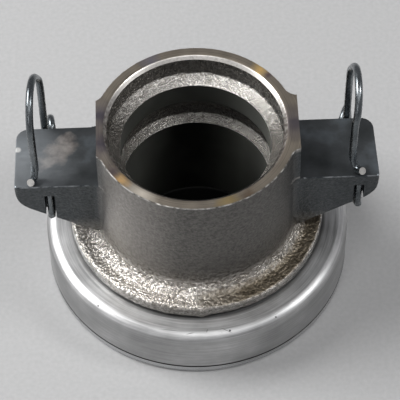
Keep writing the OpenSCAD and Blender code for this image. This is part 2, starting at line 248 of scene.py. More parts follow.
ears = block("ear", EAR_GRID, ear_point(1))
tools = [block("ear", EAR_GRID, ear_point(-1))]
ear_neck = SLEEVE_R + DRAFT * (BODY_H - EAR_Z) / (BODY_H - FLANGE_TOP - FLANGE_FILLET)
foot_level = (under(SLEEVE_R + EAR_FILLET / 2), EAR_Y, ear_neck)
top_level = (EAR_Z + LAP / 2, EAR_Y, ear_neck)
pad_level, rim_level = (EAR_Z - HAIR / 2, EAR_Y, ear_neck), (BODY_H, LUG_W / 2, SLEEVE_R)
for side in (-1, 1):
    for front in (-1, 1):
        for low, high in ((foot_level, top_level), (pad_level, rim_level)):
            tools.append(block("hollow", HOLLOW_GRID, hollow_point(side, front, low, high)))
for near, far in ((LUG_LEFT, -ROOT_X), (ROOT_X, LUG_RIGHT)):
    tools.append(block("lug", LUG_GRID, box_point(
        (near, EAR_SHIFT - LUG_W / 2, EAR_Z - LAP), (far, EAR_SHIFT + LUG_W / 2, BODY_H))))
for tool in tools:
    carve(ears, tool, "UNION")
carve(carrier, ears, "UNION")
mill_front, mill_back = EAR_SHIFT - EAR_Y - EAR_FILLET, EAR_SHIFT + EAR_Y + EAR_FILLET
cuts = [((LUG_LEFT - EAR_X, mill_front, EAR_Z + HAIR), (LUG_LEFT, mill_back, BODY_H + LAP)),
        ((LUG_RIGHT, mill_front, EAR_Z + HAIR), (LUG_RIGHT + EAR_X, mill_back, BODY_H + LAP))]
ear_front = EAR_SHIFT - EAR_Y
for slot_x in (SLOT_LEFT, SLOT_RIGHT):
    cuts.append(((slot_x - SLOT_W / 2, ear_front - LAP, SLOT_LOW),
                 (slot_x + SLOT_W / 2, ear_front + SLOT_DEPTH, SLOT_TOP)))
for low, high in cuts:
    carve(carrier, block("cutter", (1, 1, 1), box_point(low, high)), "DIFFERENCE")
carrier.data.shade_smooth()
carrier.data.set_sharp_from_angle(angle=CAST_SHARP)

# The mould's skin, in millimetres: sizes of its lumps and grit, and how far lumps, parting seams and the two
# halves of the mould stand out
LUMPS, PEBBLE, GRIT = (2.6, 1.3), 1.1, 0.8
LUMP_SHARE, PEBBLE_SHARE, PEBBLE_MEAN = 0.5, 0.8, 0.45
FLANGE_LUMP, LEDGE_LUMP, WALL_LUMP, LEDGE_GRIT = 0.2, 0.2, 0.06, 0.12
FRONT_SEAM, BACK_SEAM, SEAM_W, CORE_SEAM, CORE_SEAM_W = 0.5, 0.2, 2.2, 0.3, 0.5
LEFT_HALF, RIGHT_HALF = 0.22, -0.12
# The flange's skin fades out up the fillet, and its seam and halves show near its outer edge
SKIN_TOP, FADE_TOP, FADE_RUN, FADE_LEAST = FLANGE_TOP + 6, FLANGE_TOP + 8, 6, 0.12
OUTER_FROM, OUTER_RUN = FLANGE_R - 4, 3


def mould_skin(at):
    """How far the sand mould's lumps push the skin out at a point, in millimetres."""
    r = math.hypot(at.x, at.y)
    lumps = sum(LUMP_SHARE * noise.noise(at / size) for size in LUMPS)
    lumps += PEBBLE_SHARE * (PEBBLE_MEAN - noise.voronoi(at / PEBBLE)[0][0])
    if r > SPIGOT_R + 1 and FLANGE_LOW - 0.1 < at.z < SKIN_TOP:
        fade = min(1.0, max(FADE_LEAST, (FADE_TOP - at.z) / FADE_RUN))
        outer = min(1.0, max(0.0, (r - OUTER_FROM) / OUTER_RUN))
        half = LEFT_HALF if at.x < EAR_SHIFT else RIGHT_HALF
        seam = math.exp(-((at.x - EAR_SHIFT) / SEAM_W) ** 2) * (FRONT_SEAM if at.y < 0 else BACK_SEAM)
        return fade * (FLANGE_LUMP * lumps + seam * outer) + half * outer
    if BORE_R + 0.1 < r < CAST_R + 0.01 and LOWER_LAND[1] < at.z < mouth_low[1] - 0.2:
        seam = math.exp(-((at.x / CORE_SEAM_W) ** 2)) if at.y > 0 else 0
        return LEDGE_LUMP * lumps + LEDGE_GRIT * noise.noise(at / GRIT) + CORE_SEAM * seam
    if r > SLEEVE_R - 0.5 and at.z < BODY_H - 1 and abs(at.z - EAR_Z) > 0.4:
        return WALL_LUMP * lumps
    return 0.0


normals = np.empty(len(carrier.data.vertices) * 3, np.float32)
carrier.data.vertices.foreach_get("normal", normals)
places = np.empty_like(normals)
carrier.data.vertices.foreach_get("co", places)
places, normals = places.reshape(-1, 3), normals.reshape(-1, 3)
push = np.array([mould_skin(Vector(p) / MM) for p in places])
carrier.data.vertices.foreach_set("co", (places + normals * push[:, None] * MM).astype(np.float32).ravel())


def linear(colour):
    """An sRGB hex colour as the linear colour that a shader reads."""
    parts = [int(colour[i:i + 2], 16) / 255 for i in (1, 3, 5)]
    return tuple(c / 12.92 if c <= 0.04045 else ((c + 0.055) / 1.055) ** 2.4 for c in parts) + (1.0,)


def add(tree, kind, links=None, stops=(), **settings):
    """Adds a node with its settings, links or sets its inputs, and gives a colour ramp its stops."""
    made = tree.nodes.new(kind)
    for name, value in settings.items():
        setattr(made, name, value)
    for name, value in (links or {}).items():
        if isinstance(value, bpy.types.NodeSocket):
            tree.links.new(value, made.inputs[name])
        else:
            made.inputs[name].default_value = value
    for count, (position, colour) in enumerate(stops):
        stop = made.color_ramp.elements.new(position) if count > 1 else made.color_ramp.elements[count]
        stop.position = position
        stop.color = linear(colour) if isinstance(colour, str) else (colour, colour, colour, 1)
    return made


def dress(tree, **sockets):
    """Sets the shader's own sockets, or links those that are given a node's output."""
    for key, value in sockets.items():
        socket = tree.nodes["Principled BSDF"].inputs[key.replace("_", " ").title().replace("Ior", "IOR")]
        if isinstance(value, bpy.types.NodeSocket):
            tree.links.new(value, socket)
        else:
            socket.default_value = value


def start_material(name, **sockets):
    """A material with its shader's own sockets set, its node tree and the part's coordinates."""
    made = bpy.data.materials.new(name)
    made.use_nodes = True
    dress(made.node_tree, **sockets)
    return made, made.node_tree, add(made.node_tree, "ShaderNodeTexCoord").outputs["Object"]


def mottled_material(name, size, detail, tones, dulls, **sockets):
    """A material whose colour and gloss both follow one noise, of a size in millimetres."""
    made, tree, at = start_material(name, **sockets)
    mottle = add(tree, "ShaderNodeTexNoise", {"Vector": at, "Scale": 1 / (size * MM), "Detail": detail})
    tone = add(tree, "ShaderNodeValToRGB", {"Fac": mottle.outputs["Fac"]}, tones)
    dull = add(tree, "ShaderNodeValToRGB", {"Fac": mottle.outputs["Fac"]}, dulls)
    dress(tree, base_color=tone.outputs[0], roughness=dull.outputs[0])
    return made


# Shot-blasted cast iron: dull grey on the steep walls and darker, bluer grey on the ears, with sand grain all
# over it, browner and smoother on the flange's right half. Its colour also holds painted light and shade:
# faces that look up are painted brighter and sparkle, the left side is painted lighter, the flange's right
# half darker, the grain's hollows darker, and the bore's ledges dark with a pale upper ledge at the back.
cast_skin, tree, at = start_material("cast_iron_shot_blasted", metallic=0.9)
facing = add(tree, "ShaderNodeSeparateXYZ", {"Vector": add(tree, "ShaderNodeNewGeometry").outputs["Normal"]})
up = facing.outputs["Z"]
place = add(tree, "ShaderNodeSeparateXYZ", {"Vector": at}).outputs
patches, grain, sand = (
    add(tree, "ShaderNodeTexNoise", {"Vector": at, "Scale": 1 / (size * MM), "Detail": detail}).outputs["Fac"]
    for size, detail in ((6.0, 4.0), (1.0, 2.0), (0.6, 2.0)))
flat = add(tree, "ShaderNodeVectorMath", {0: at, 1: (1.0, 1.0, 0.0)}, operation="MULTIPLY")
radius = add(tree, "ShaderNodeVectorMath", {0: flat.outputs[0]}, operation="LENGTH").outputs["Value"]
backward = add(tree, "ShaderNodeVectorMath", {
    0: at, 1: (0.1, 1.0, 0.0)}, operation="DOT_PRODUCT").outputs["Value"]
out_x = add(tree, "ShaderNodeMath", {0: place["X"]}, operation="ABSOLUTE").outputs[0]
on_ear, from_seam, lit_left, on_flange, inside, behind, level, upward = (
    add(tree, "ShaderNodeMapRange", {"Value": value, "From Min": start, "From Max": full}).outputs[0]
    for value, start, full in (
        (out_x, (SLEEVE_R - 4) * MM, SLEEVE_R * MM), (place["X"], -2 * MM, 14 * MM),
        (place["X"], -6 * MM, -26 * MM), (place["Z"], (FLANGE_TOP + 10) * MM, (FLANGE_TOP + 3) * MM),
        (radius, MOUTH_R * MM, CAST_R * MM), (backward, 4 * MM, 23 * MM), (up, 0.7, 0.96), (up, 0.1, 0.7)))
on_upper = add(tree, "ShaderNodeMapRange", {
    "Value": place["Z"], "From Min": (LOWER_LAND[1] + 4) * MM, "From Max": UPPER_LAND[0] * MM, "To Min": 0.5})
# The flange's right half is painted darker brown: its own brown tint together with painted shade from the
# sleeve
right_half = add(tree, "ShaderNodeValToRGB", {"Fac": from_seam}, [(0.03, 0.0), (0.13, 0.5), (1.0, 1.0)])
right_level = add(tree, "ShaderNodeMath", {0: right_half.outputs[0], 1: level}, operation="MULTIPLY")
on_right = add(tree, "ShaderNodeMath", {
    0: right_level.outputs[0], 1: on_flange}, operation="MULTIPLY").outputs[0]
rough_zone = add(tree, "ShaderNodeMath", {0: on_flange, 1: inside}, operation="MAXIMUM").outputs[0]
lit = add(tree, "ShaderNodeMath", {0: on_flange, 1: 0.3, 2: upward}, operation="MULTIPLY_ADD", use_clamp=True)
back_ledge = add(tree, "ShaderNodeMath", {0: behind, 1: on_upper.outputs[0]}, operation="MULTIPLY")
# Ledges in the bore take a dark tone, a painted shade, and the upper ledge at the back a pale one, a painted
# light
inside_lit_tone = add(tree, "ShaderNodeValToRGB", {"Fac": back_ledge.outputs[0]},
                [(0.0, "#787570"), (1.0, "#f6f3ee")])
wall_tone, lit_left_wall_tone, ear_tone, left_tone, shaded_brown_right_tone = (
    add(tree, "ShaderNodeValToRGB", {"Fac": mottle}, [(0.3, dark), (0.7, pale)]).outputs[0]
    for mottle, dark, pale in (
        (grain, "#595856", "#797774"), (grain, "#918d89", "#a9a5a0"), (grain, "#464a4c", "#5c5f61"),
        (patches, "#b0aaa2", "#dedad4"), (patches, "#6a6153", "#8d8373")))
side_tone, top_tone = wall_tone, left_tone
# The left side's walls and flange are painted lighter, where the key light falls: a painted light
for share, colour in ((lit_left, lit_left_wall_tone), (on_ear, ear_tone)):
    side_tone = add(tree, "ShaderNodeMix", {0: share, 6: side_tone, 7: colour}, data_type="RGBA").outputs[2]
for share, colour in ((lit_left, linear("#dfdbd5")), (on_right, shaded_brown_right_tone), (inside, inside_lit_tone.outputs[0])):
    top_tone = add(tree, "ShaderNodeMix", {0: share, 6: top_tone, 7: colour}, data_type="RGBA").outputs[2]
# Faces that look up take the top tones, painted brighter: a painted light
tone = add(tree, "ShaderNodeMix", {0: lit.outputs[0], 6: side_tone, 7: top_tone}, data_type="RGBA")
smooth = add(tree, "ShaderNodeMapRange", {"Value": rough_zone, "To Min": 0.42, "To Max": 0.27})
dull = add(tree, "ShaderNodeMath", {0: on_right, 1: 0.1, 2: smooth.outputs[0]}, operation="MULTIPLY_ADD")
mould_depth = add(tree, "ShaderNodeMapRange", {"Value": rough_zone, "To Min": 0.3, "To Max": 1.0})
depth = add(tree, "ShaderNodeMath", {0: inside, 1: -0.1, 2: mould_depth.outputs[0]}, operation="MULTIPLY_ADD")
calm = add(tree, "ShaderNodeMath", {0: on_right, 1: -0.5, 2: depth.outputs[0]}, operation="MULTIPLY_ADD")
half_inside = add(tree, "ShaderNodeMath", {0: inside, 1: 0.6}, operation="MULTIPLY")
speck = add(tree, "ShaderNodeMix", {0: half_inside.outputs[0], 2: grain, 3: sand}).outputs[0]
lumps = add(tree, "ShaderNodeMath", {0: speck, 1: calm.outputs[0]}, operation="MULTIPLY")
fine = add(tree, "ShaderNodeMapRange", {"Value": on_flange, "To Min": 0.35, "To Max": 0.2})
rough_skin = add(tree, "ShaderNodeMath", {
    0: sand, 1: fine.outputs[0], 2: lumps.outputs[0]}, operation="MULTIPLY_ADD")
# The grain's hollows are darkened in the colour: a painted shade
crevice = add(tree, "ShaderNodeValToRGB", {"Fac": speck}, [(0.32, "#bcb9b4"), (0.6, "#ffffff")])
hollows_shaded = add(tree, "ShaderNodeMix", {
    0: rough_zone, 6: tone.outputs[2], 7: crevice.outputs[0]}, data_type="RGBA", blend_type="MULTIPLY")
bump = add(tree, "ShaderNodeBump", {"Height": rough_skin.outputs[0], "Strength": 1.0, "Distance": 0.85 * MM})
dress(tree, base_color=hollows_shaded.outputs[2], roughness=dull.outputs[0], normal=bump.outputs["Normal"])

# Turned iron: fine rings left by the tool, with straw and blue heat tints where it ran hot. Each tint has its
# place on the rim, its reach in millimetres and its colour.
HEAT_TINTS = [
    (-18, -26.6, 7.0, "#ece3d4"), (-24.3, -20.9, 3.6, "#e0ba84"), (22.6, 22.8, 4.0, "#f5cf88"),
    (-30.5, -6, 9.0, "#655f66"), (-31.5, 6, 8.0, "#6a656c"), (32.5, 0, 9.0, "#6d676b"),
    (-27.2, -17.2, 2.6, "#5d5157"), (24.9, 20.4, 2.2, "#64505c"), (-14, 28.6, 4.5, "#7d7a86"),
    (9, -30.6, 5.0, "#a8946a"), (16, -27.6, 3.5, "#6b5a4a")]
TINT_CORE, TINT_WANDER = 3.0, 6.0
turned_rim, tree, at = start_material("cast_iron_turned", metallic=1.0)
flat = add(tree, "ShaderNodeVectorMath", {0: at, 1: (1.0, 1.0, 0.0)}, operation="MULTIPLY")
radius = add(tree, "ShaderNodeVectorMath", {0: flat.outputs[0]}, operation="LENGTH")
wander = add(tree, "ShaderNodeTexNoise", {"Vector": at, "Scale": 1 / (4 * MM), "Detail": 3.0}).outputs["Fac"]
rings = add(tree, "ShaderNodeTexNoise", {
    "W": radius.outputs["Value"], "Scale": 1 / (0.35 * MM), "Detail": 2.0},
    noise_dimensions="1D").outputs["Fac"]
tone = add(tree, "ShaderNodeValToRGB", {"Fac": rings}, [(0.25, "#847c71"), (0.75, "#9b9285")]).outputs[0]
for x, y, reach, tint in HEAT_TINTS:
    away = add(tree, "ShaderNodeVectorMath", {0: at, 1: (x * MM, y * MM, BODY_H * MM)}, operation="DISTANCE")
    ragged = add(tree, "ShaderNodeMath", {
        0: wander, 1: TINT_WANDER * MM, 2: away.outputs["Value"]}, operation="MULTIPLY_ADD")
    near = add(tree, "ShaderNodeMapRange", {
        "Value": ragged.outputs[0], "From Min": (reach + TINT_CORE) * MM, "From Max": TINT_CORE * MM})
    tone = add(tree, "ShaderNodeMix", {
        0: near.outputs[0], 6: tone, 7: linear(tint)}, data_type="RGBA").outputs[2]
dull = add(tree, "ShaderNodeValToRGB", {"Fac": wander}, [(0.3, 0.42), (0.7, 0.52)])
bump = add(tree, "ShaderNodeBump", {"Height": rings, "Strength": 0.2, "Distance": 0.05 * MM})
dress(tree, base_color=tone, roughness=dull.outputs[0], normal=bump.outputs["Normal"])

# Bored iron: smooth and dark, with faint feed rings up the bore. Its colour is painted darker at the back and
# low down,
# and paler at the sides and higher up: a painted shade and light.
PAINTED_SHADE_SHIFT = 1.5
bored_land, tree, at = start_material("cast_iron_bored", metallic=0.8)
place = add(tree, "ShaderNodeSeparateXYZ", {"Vector": at}).outputs
feed = add(tree, "ShaderNodeTexNoise", {
    "W": place["Z"], "Scale": 1 / (0.4 * MM), "Detail": 2.0}, noise_dimensions="1D")
stain = add(tree, "ShaderNodeTexNoise", {"Vector": at, "Scale": 1 / (16 * MM), "Detail": 2.0}).outputs["Fac"]
shifted = add(tree, "ShaderNodeMath", {0: place["X"], 1: PAINTED_SHADE_SHIFT * MM}, operation="ADD").outputs[0]
sideways = add(tree, "ShaderNodeMath", {0: shifted, 1: shifted}, operation="MULTIPLY")
# Paler higher up and towards the sides, darker at the back and low down: painted light and shade
rise, slope = (
    add(tree, "ShaderNodeMapRange", {
        "Value": place["Z"], "From Min": LOWER_LAND[1] * MM, "From Max": UPPER_LAND[0] * MM,
        "To Min": at_low, "To Max": at_high}).outputs[0]
    for at_low, at_high in ((0.0, 0.16), (0.95 / (BORE_R * MM) ** 2, 0.4 / (BORE_R * MM) ** 2)))
cloud_and_height_light = add(tree, "ShaderNodeMath", {0: stain, 1: 0.16, 2: rise}, operation="MULTIPLY_ADD")
clear = add(tree, "ShaderNodeMath", {
    0: sideways.outputs[0], 1: slope, 2: cloud_and_height_light.outputs[0]}, operation="MULTIPLY_ADD")
tone = add(tree, "ShaderNodeValToRGB", {"Fac": clear.outputs[0]}, [(0.1, "#333431"), (0.6, "#a6a8a1")])
dull = add(tree, "ShaderNodeValToRGB", {"Fac": stain}, [(0.3, 0.3), (0.7, 0.42)])
bump = add(tree, "ShaderNodeBump", {"Height": feed.outputs["Fac"], "Strength": 0.15, "Distance": 0.04 * MM})
dress(tree, base_color=tone.outputs[0], roughness=dull.outputs[0], normal=bump.outputs["Normal"])

# Milled and oil-blacked iron: a dark blue-grey pad with fine mill marks. On the left pad a film of beige
# grease has dried, the outer end is painted paler, a painted light, and its edge has one bright nick.
FILM_AT, FILM_TURN, FILM_STRETCH = (-46, 3), math.radians(47), (1.5, 0.75, 1.0)
LIT_END_AT, NICK_AT = (-60, 0), (-59.2, 4.1)
milled_pad, tree, at = start_material("cast_iron_milled_blacked", metallic=1.0)
cloud, film_edge, smear = (
    add(tree, "ShaderNodeTexNoise", {"Vector": at, "Scale": 1 / (size * MM), "Detail": detail}).outputs["Fac"]
    for size, detail in ((11, 4.0), (5, 6.0), (3, 3.0)))
drawn_out = add(tree, "ShaderNodeMapping", {"Vector": at, "Scale": (0.25, 1.0, 1.0)})
marks = add(tree, "ShaderNodeTexNoise", {
    "Vector": drawn_out.outputs[0], "Scale": 1 / (0.6 * MM), "Detail": 2.0}).outputs["Fac"]
blacked = add(tree, "ShaderNodeValToRGB", {"Fac": cloud},
              [(0.3, "#454849"), (0.55, "#5a5d5f"), (0.75, "#798085")])
film_tone = add(tree, "ShaderNodeValToRGB", {"Fac": smear}, [(0.35, "#847c76"), (0.65, "#bab1a9")])
film_place = add(tree, "ShaderNodeMapping", {
    "Vector": at, "Location": (FILM_AT[0] * MM, FILM_AT[1] * MM, EAR_Z * MM), "Rotation": (0, 0, FILM_TURN),
    "Scale": FILM_STRETCH}, vector_type="TEXTURE")
film_far = add(tree, "ShaderNodeVectorMath", {0: film_place.outputs[0]}, operation="LENGTH").outputs["Value"]
# The left pad's outer end is painted paler: a painted light
lit_end_far, nick_far = (
    add(tree, "ShaderNodeVectorMath", {
        0: at, 1: (x * MM, y * MM, EAR_Z * MM)}, operation="DISTANCE").outputs["Value"]
    for x, y in (LIT_END_AT, NICK_AT))
tone = blacked.outputs[0]
for far, ragged, start, full, most, colour in (
        (film_far, 13, 13.2, 10.4, 0.8, film_tone.outputs[0]), (lit_end_far, 8, 26, 6, 0.62, linear("#b6bbbf")),
        (nick_far, 0, 1.3, 0.7, 1.0, linear("#f2f2f0"))):
    edge = add(tree, "ShaderNodeMath", {0: film_edge, 1: ragged * MM, 2: far}, operation="MULTIPLY_ADD")
    share = add(tree, "ShaderNodeMapRange", {
        "Value": edge.outputs[0], "From Min": start * MM, "From Max": full * MM, "To Max": most})
    tone = add(tree, "ShaderNodeMix", {0: share.outputs[0], 6: tone, 7: colour}, data_type="RGBA").outputs[2]
dull = add(tree, "ShaderNodeValToRGB", {"Fac": marks}, [(0.3, 0.44), (0.7, 0.52)])
bump = add(tree, "ShaderNodeBump", {"Height": marks, "Strength": 0.12, "Distance": 0.05 * MM})
dress(tree, base_color=tone, roughness=dull.outputs[0], normal=bump.outputs["Normal"])

# Worn bare iron: bright broken lines along the rim's edge, where handling has rubbed the skin off, and
# fainter ones along the front of the blacked ears.
rubbed_edges = []
for name, kept, bare in (("cast_iron_rubbed_bright", "#77736d", "#f0ede8"),
                         ("cast_iron_blacked_rubbed", "#4a4e51", "#a6aaac")):
    made, tree, at = start_material(name, metallic=1.0, roughness=0.3)
    rub = add(tree, "ShaderNodeTexNoise", {"Vector": at, "Scale": 1 / (2.2 * MM), "Detail": 4.0})
    tone = add(tree, "ShaderNodeValToRGB", {"Fac": rub.outputs["Fac"]}, [(0.42, kept), (0.6, bare)])
    dress(tree, base_color=tone.outputs[0])
    rubbed_edges.append(made)
rubbed_rim, rubbed_ear = rubbed_edges

# Freshly cut iron: a silvery chamfer at the mouth that the tool has left bright, painted brighter towards the
# back: a painted highlight.
bright_cut, tree, at = start_material("cast_iron_chamfered", metallic=1.0)
chatter = add(tree, "ShaderNodeTexNoise", {
    "Vector": at, "Scale": 1 / (1.4 * MM), "Detail": 4.0}).outputs["Fac"]
place = add(tree, "ShaderNodeSeparateXYZ", {"Vector": at}).outputs
back_highlight = add(tree, "ShaderNodeMapRange", {
    "Value": place["Y"], "From Min": 2 * MM, "From Max": 18 * MM, "To Min": 0.1, "To Max": 0.5})
bare = add(tree, "ShaderNodeMath", {0: chatter, 1: back_highlight.outputs[0]}, operation="ADD")
tone = add(tree, "ShaderNodeValToRGB", {"Fac": bare.outputs[0]}, [(0.5, "#6f6965"), (1.0, "#e6e2dc")])
dull = add(tree, "ShaderNodeValToRGB", {"Fac": chatter}, [(0.3, 0.42), (0.7, 0.28)])
dress(tree, base_color=tone.outputs[0], roughness=dull.outputs[0])

# Grime and painted shade: black grease and dust, dull and crumbly, packed under the edges of the flange and
# the shroud; its black also stands in for the shade under these edges and in the groove over the ring's band.
grime_and_shade = mottled_material(
    "grease_dust_and_shade", 1.5, 3.0, [(0.3, "#171615"), (0.7, "#302e2c")], [(0.3, 0.6), (0.7, 0.9)])

# Rise of a face's normal, and margins in millimetres, that tell the casting's faces apart
FLAT, LEVEL, SLANTED = 0.95, 0.9, 0.2
NEAR, RIM_ZONE, MOUTH_ZONE, LUG_ZONE, GRIME_SHADE_H = 0.05, 0.4, 1.2, 2, 0.7


def finish_of(face):
    """The finish of a face of the casting, by its place and its slope."""
    x, y, z = face.center / MM
    r, up = math.hypot(x, y), face.normal.z
    on_rim_edge = r > SLEEVE_R - RIM_ZONE and BODY_H - EDGE_BREAK - HAIR < z < BODY_H - HAIR
    on_ear_edge = r > SLEEVE_R and EAR_Z - EDGE_BREAK - HAIR < z < EAR_Z - HAIR and up > SLANTED
    on_pad = abs(z - EAR_Z) < EDGE_BREAK - 2 * NEAR and up > LEVEL
    on_lug = abs(face.normal.x) > 0.98 and z > EAR_Z and r > SLEEVE_R - LUG_ZONE
    at_mouth = z > BODY_H - MOUTH_ZONE and r > CAST_R - NEAR
    if on_rim_edge and SLANTED < up < FLAT:
        return rubbed_rim
    if on_ear_edge and face.normal.y < -0.3:
        return rubbed_ear
    if at_mouth and r < MOUTH_R and up < FLAT:
        return bright_cut
    if at_mouth and up > 0.5:
        return turned_rim
    # Grime under the flange's edge, whose black is also painted shade
    if z < FLANGE_LOW + GRIME_SHADE_H and r > SPIGOT_R + 1:
        return grime_and_shade
    if r < BORE_R + NEAR or z < FLANGE_LOW - 0.1:
        return bored_land
    if on_pad or on_ear_edge or on_lug:
        return milled_pad
    return cast_skin


def paint(piece, finishes, choose):
    """Gives a piece its finishes, and each of its faces the one that choose() names."""
    for made in finishes:
        piece.data.materials.append(made)
    for face in piece.data.polygons:
        face.material_index = finishes.index(choose(face))


casting_finishes = [cast_skin, turned_rim, bored_land, milled_pad, rubbed_rim, bright_cut, rubbed_ear, grime_and_shade]
paint(carrier, casting_finishes, finish_of)
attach(carrier, "carrier")
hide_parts("carrier")

# The bearing's inner ring, ground from through-hardened steel and pressed on the carrier's spigot, with
# the turning outer ring, whose lower web is the thrust face that meets the clutch.
SHROUD_R, SHEET, SHROUD_TOP, SHROUD_LOW, SHOULDER = 52.0, 1.2, 20.6, 3.7, 3.8
SKIRT_R, RING_LAND_R, WEB_R, WEB_T, BAND_GAP = 50.8, 43.59, 39.4, 4.2, 0.5
BALL_R, BALL_GAP, PITCH_R, BALL_Z = 5.5, 0.1, 40.5, 11.0
RING_EDGE, FOOT_ROUND, BAND_EDGE, RING_AROUND = 0.6, 1.1, 0.12, 256
SHARP = math.radians(35)
band_top, ring_top = SHROUD_LOW - BAND_GAP, SHROUD_TOP - SHEET
track_r = BALL_R + BALL_GAP
track_half = math.degrees(math.acos((RING_LAND_R - PITCH_R) / track_r))
ring_profile = (
    [(WEB_R, WEB_T), (WEB_R, RING_EDGE)] + bend((WEB_R + RING_EDGE, RING_EDGE), RING_EDGE, 180, 270, 5)[1:]
    + walk([(WEB_R + RING_EDGE, 0), (SHROUD_R - FOOT_ROUND, 0)], 3)[1:]
    + bend((SHROUD_R - FOOT_ROUND, FOOT_ROUND), FOOT_ROUND, -90, 0, 8)
    + bend((SHROUD_R - BAND_EDGE, band_top - BAND_EDGE), BAND_EDGE, 0, 90, 3) + [(SKIRT_R, band_top)]
    + walk([(SKIRT_R, band_top), (SKIRT_R, SHROUD_TOP - SHOULDER)], 4)[1:]
    + [(SKIRT_R, SHROUD_TOP - SHOULDER), (SHROUD_R - SHOULDER, ring_top)]
    + [(RING_LAND_R + RING_EDGE, ring_top), (RING_LAND_R, ring_top - RING_EDGE)]
    + bend((PITCH_R, BALL_Z), track_r, track_half, -track_half, 16) + [(RING_LAND_R, WEB_T)])
outer_ring = spun("outer_ring_turned", ring_profile, RING_AROUND)
outer_ring.data.shade_smooth()
outer_ring.data.set_sharp_from_angle(angle=SHARP)

# Ground bearing steel: bright, with fine grinding lines round it and a thin cloudy film of oil. Real lines
# are finer than a pixel, so they are drawn coarser here, to show.
ground_steel, tree, at = start_material("bearing_steel_ground", metallic=1.0)
flat = add(tree, "ShaderNodeVectorMath", {0: at, 1: (1.0, 1.0, 0.0)}, operation="MULTIPLY")
radius = add(tree, "ShaderNodeVectorMath", {0: flat.outputs[0]}, operation="LENGTH")
place = add(tree, "ShaderNodeSeparateXYZ", {"Vector": at}).outputs
across = add(tree, "ShaderNodeMath", {0: radius.outputs["Value"], 1: place["Z"]}, operation="ADD")
grind = add(tree, "ShaderNodeTexNoise", {
    "W": across.outputs[0], "Scale": 1 / (0.3 * MM), "Detail": 2.0}, noise_dimensions="1D").outputs["Fac"]
oil = add(tree, "ShaderNodeTexNoise", {"Vector": at, "Scale": 1 / (14 * MM), "Detail": 3.0})
tone = add(tree, "ShaderNodeValToRGB", {"Fac": oil.outputs["Fac"]}, [(0.3, "#b3b4b5"), (0.7, "#cbcccd")])
dull = add(tree, "ShaderNodeValToRGB", {"Fac": grind}, [(0.25, 0.2), (0.75, 0.34)])
bump = add(tree, "ShaderNodeBump", {"Height": grind, "Strength": 0.15, "Distance": 0.03 * MM})
dress(tree, base_color=tone.outputs[0], roughness=dull.outputs[0], normal=bump.outputs["Normal"])


def ring_finish(face):
    """Grime and painted shade on the top of the band, in the groove below the shroud, and bare steel
    elsewhere.
    """
    x, y, z = face.center / MM
    return grime_and_shade if math.hypot(x, y) > SKIRT_R - NEAR and z > band_top - 0.1 else ground_steel


paint(outer_ring, [ground_steel, grime_and_shade], ring_finish)
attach(outer_ring, "outer_ring")
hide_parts("outer_ring")
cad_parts["inner_ring"].data.materials.clear()
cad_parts["inner_ring"].data.materials.append(ground_steel)

# The balls, of polished bearing steel, and the moulded nylon cage that spaces them. They run between the
# rings of the closed bearing, out of sight.
# Polished bearing steel: a mirror with a faint lapped haze.
ball_steel = mottled_material(
    "bearing_steel_polished", 3, 2.0, [(0.3, "#c4c6c9"), (0.7, "#d6d8da")],
    [(0.3, 0.05), (0.7, 0.12)], metallic=1.0)
# Moulded nylon: a waxy tan with pale flow marks.
nylon = mottled_material(
    "nylon_moulded", 6, 3.0, [(0.3, "#b89a62"), (0.7, "#cbb07a")], [(0.3, 0.4), (0.7, 0.55)], ior=1.53)
for name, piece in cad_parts.items():
    if name.startswith("ball_"):
        piece.data.materials.clear()
        piece.data.materials.append(nylon if name == "ball_cage" else ball_steel)

# The front seal: a moulded rubber ring, fixed in the hole of the outer ring's web, that keeps grease in
# and clutch dust out.
# Moulded nitrile rubber: black and dull, with a greyish bloom.
rubber = mottled_material(
    "nitrile_rubber_moulded", 5, 4.0, [(0.3, "#191919"), (0.7, "#2b2a29")],
    [(0.3, 0.5), (0.7, 0.7)], ior=1.52)
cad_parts["front_seal"].data.materials.clear()
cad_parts["front_seal"].data.materials.append(rubber)

# The shroud: a cup drawn from thin steel sheet, plated and satin turned, pressed over the outer ring.
# Its top reaches in under the flange, and its trimmed lower edge stands over the ring's band.
SHROUD_HOLE, LIP, INNER_BREAK, SHROUD_STEP, SHROUD_AROUND = 38.41, 0.15, 0.2, 1.5, 360
shroud_at = (SHROUD_R - SHOULDER, SHROUD_TOP - SHOULDER)
shroud_profile = (
    bend((SHROUD_R - LIP, SHROUD_LOW + LIP), LIP, -90, 0, 4)
    + walk([(SHROUD_R, SHROUD_LOW + LIP), (SHROUD_R, shroud_at[1])], SHROUD_STEP)[1:]
    + bend(shroud_at, SHOULDER, 0, 90, 20)
    + walk([(shroud_at[0], SHROUD_TOP), (SHROUD_HOLE, SHROUD_TOP)], SHROUD_STEP)[1:]
    + [(SHROUD_HOLE, SHROUD_TOP), (SHROUD_HOLE, SHROUD_TOP - SHEET)]
    + bend(shroud_at, SHOULDER - SHEET, 90, 0, 10)
    + [(SKIRT_R, SHROUD_LOW + INNER_BREAK), (SKIRT_R + INNER_BREAK, SHROUD_LOW)])
shroud = spun("shroud_drawn", shroud_profile, SHROUD_AROUND)
shroud.data.shade_smooth()
shroud.data.set_sharp_from_angle(angle=SHARP)

